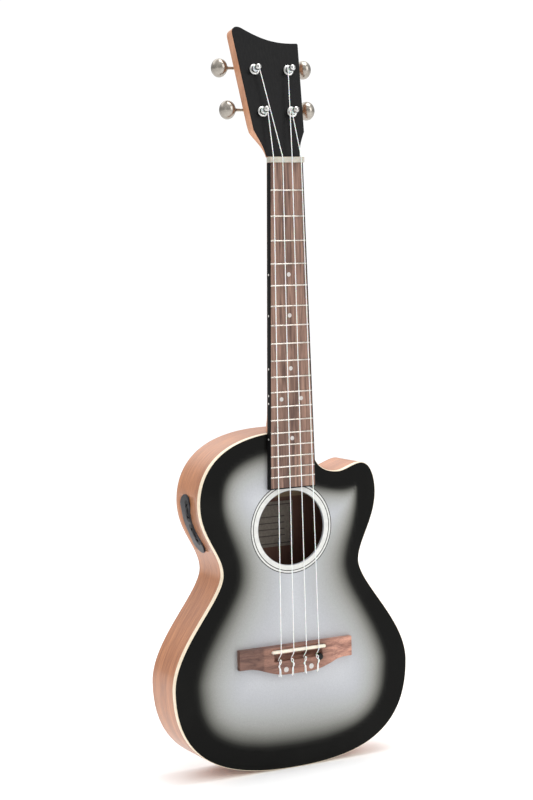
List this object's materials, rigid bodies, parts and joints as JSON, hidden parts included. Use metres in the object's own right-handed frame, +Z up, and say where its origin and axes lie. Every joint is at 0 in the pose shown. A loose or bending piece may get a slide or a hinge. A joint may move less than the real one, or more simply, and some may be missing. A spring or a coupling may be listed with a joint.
{
  "type": "ukulele",
  "caption": "Tenor ukulele with a rounded cutaway, thin hollow body, geared tuners, tie bridge and a side preamp with thumbwheels.",
  "frame": {"origin": "on the floor under the middle of the body, where the tail end stands", "axes": "+Z up along the neck, -Y the way the soundboard faces, +X towards the treble side with the cutaway"},
  "size_m": [0.2418, 0.0599, 0.6678],
  "materials": {
    "burst_finish": "satin metallic silver burst fading to black",
    "inlay": "satin",
    "binding": "satin cream",
    "mahogany": "satin open grain",
    "inner_wood": "raw",
    "spruce": "raw",
    "label_paper": "matte",
    "panel_plastic": "satin black",
    "dark_plastic": "matte black",
    "nickel": "polished nickel",
    "chrome": "polished",
    "lead_rubber": "matte",
    "neck_wood": "satin",
    "rosewood": "oiled",
    "bone": "polished ivory white",
    "brass": "plain",
    "nylon": "clear white nylon",
    "black_veneer": "satin black lacquer"
  },
  "bodies": {
    "body": {"soundboard": "burst_finish", "rosette_ring": "inlay", "top_binding": "binding", "back_plate": "mahogany", "bass_side": "mahogany", "treble_side": "mahogany", "neck_block": "inner_wood", "tail_block": "inner_wood", "top_lining_bass": "spruce", "top_lining_treble": "spruce", "back_lining_bass": "spruce", "back_lining_treble": "spruce", "upper_face_brace": "spruce", "lower_face_brace": "spruce", "fan_brace_bass": "spruce", "fan_brace_centre": "spruce", "fan_brace_treble": "spruce", "back_brace_1": "spruce", "back_brace_2": "spruce", "back_brace_3": "spruce", "bridge_plate": "inner_wood", "body_label": "label_paper", "preamp_panel": "panel_plastic", "preamp_housing": "dark_plastic", "coin_cell": "nickel", "output_jack": "chrome", "pickup_lead": "lead_rubber", "jack_lead": "lead_rubber", "neck": "neck_wood", "fingerboard": "rosewood", "nut": "bone", "bridge": "rosewood", "saddle": "bone", "piezo_strip": "brass", "string_1": "nylon", "string_2": "nylon", "string_3": "nylon", "string_4": "nylon", "headstock_veneer": "black_veneer", "tuner_plate_bass_lower": "nickel", "tuner_plate_bass_upper": "nickel", "tuner_plate_treble_upper": "nickel", "tuner_plate_treble_lower": "nickel", "post_bushing_bass_lower": "chrome", "post_bushing_bass_upper": "chrome", "post_bushing_treble_upper": "chrome", "post_bushing_treble_lower": "chrome"},
    "volume_wheel": {"volume_wheel": "dark_plastic"},
    "tone_wheel": {"tone_wheel": "dark_plastic"},
    "key_bass_lower": {"tuner_key_bass_lower": "chrome"},
    "key_bass_upper": {"tuner_key_bass_upper": "chrome"},
    "key_treble_upper": {"tuner_key_treble_upper": "chrome"},
    "key_treble_lower": {"tuner_key_treble_lower": "chrome"},
    "post_bass_lower": {"string_post_bass_lower": "chrome"},
    "post_bass_upper": {"string_post_bass_upper": "chrome"},
    "post_treble_upper": {"string_post_treble_upper": "chrome"},
    "post_treble_lower": {"string_post_treble_lower": "chrome"}
  },
  "joints": [
    {"name": "key_bass_lower_turn", "type": "hinge", "parent": "body", "child": "key_bass_lower", "pos_m": [-0.0148, 0.01023, 0.59435], "axis": [1, 0, 0], "continuous": true},
    {"name": "key_bass_upper_turn", "type": "hinge", "parent": "body", "child": "key_bass_upper", "pos_m": [-0.0172, 0.01962, 0.63199], "axis": [1, 0, 0], "continuous": true},
    {"name": "key_treble_upper_turn", "type": "hinge", "parent": "body", "child": "key_treble_upper", "pos_m": [0.0172, 0.01962, 0.63199], "axis": [1, 0, 0], "continuous": true},
    {"name": "key_treble_lower_turn", "type": "hinge", "parent": "body", "child": "key_treble_lower", "pos_m": [0.0148, 0.01023, 0.59435], "axis": [1, 0, 0], "continuous": true},
    {"name": "post_bass_lower_turn", "type": "hinge", "parent": "body", "child": "post_bass_lower", "pos_m": [-0.0148, -0.00796, 0.59167], "axis": [0, 0.9703, -0.2419], "continuous": true},
    {"name": "post_bass_upper_turn", "type": "hinge", "parent": "body", "child": "post_bass_upper", "pos_m": [-0.0172, 0.00143, 0.62931], "axis": [0, 0.9703, -0.2419], "continuous": true},
    {"name": "post_treble_upper_turn", "type": "hinge", "parent": "body", "child": "post_treble_upper", "pos_m": [0.0172, 0.00143, 0.62931], "axis": [0, 0.9703, -0.2419], "continuous": true},
    {"name": "post_treble_lower_turn", "type": "hinge", "parent": "body", "child": "post_treble_lower", "pos_m": [0.0148, -0.00796, 0.59167], "axis": [0, 0.9703, -0.2419], "continuous": true},
    {"name": "volume_wheel_turn", "type": "hinge", "parent": "body", "child": "volume_wheel", "pos_m": [-0.08425, 0.006, 0.24111], "axis": [0, 1, 0], "range_deg": [-135, 135]},
    {"name": "tone_wheel_turn", "type": "hinge", "parent": "body", "child": "tone_wheel", "pos_m": [-0.07847, 0.006, 0.22203], "axis": [0, 1, 0], "range_deg": [-135, 135]}
  ],
  "couplings": [
    {"joint": "post_bass_lower_turn", "follows": "key_bass_lower_turn", "ratio": -0.071429},
    {"joint": "post_bass_upper_turn", "follows": "key_bass_upper_turn", "ratio": -0.071429},
    {"joint": "post_treble_upper_turn", "follows": "key_treble_upper_turn", "ratio": -0.071429},
    {"joint": "post_treble_lower_turn", "follows": "key_treble_lower_turn", "ratio": -0.071429}
  ]
}
